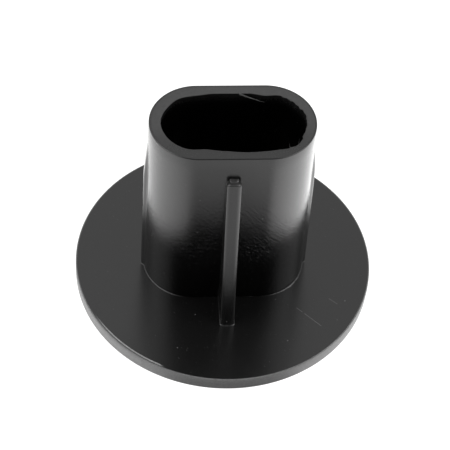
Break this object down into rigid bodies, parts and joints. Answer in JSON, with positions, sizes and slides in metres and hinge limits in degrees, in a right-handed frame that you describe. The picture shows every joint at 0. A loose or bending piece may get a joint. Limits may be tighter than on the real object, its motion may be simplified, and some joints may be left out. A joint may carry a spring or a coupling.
{
  "type": "desk cable grommet",
  "caption": "Round-flanged cable grommet: an obround sleeve for a pair of cables, with four thin ribs that centre it in a round hole.",
  "frame": {"origin": "centre of the flange's outer face, the flat face that shows on the desk in use and that it rests on when stood up", "axes": "+Z from the flange along the sleeve, the way it goes into the hole; +X along the long side of the obround passage; +Y across it"},
  "size_m": [0.035, 0.035, 0.0263],
  "materials": {
    "black_plastic": "satin"
  },
  "bodies": {
    "root": {"flange_plate": "black_plastic", "cable_sleeve": "black_plastic", "front_rib": "black_plastic", "back_rib": "black_plastic", "left_rib": "black_plastic", "right_rib": "black_plastic"}
  },
  "joints": []
}
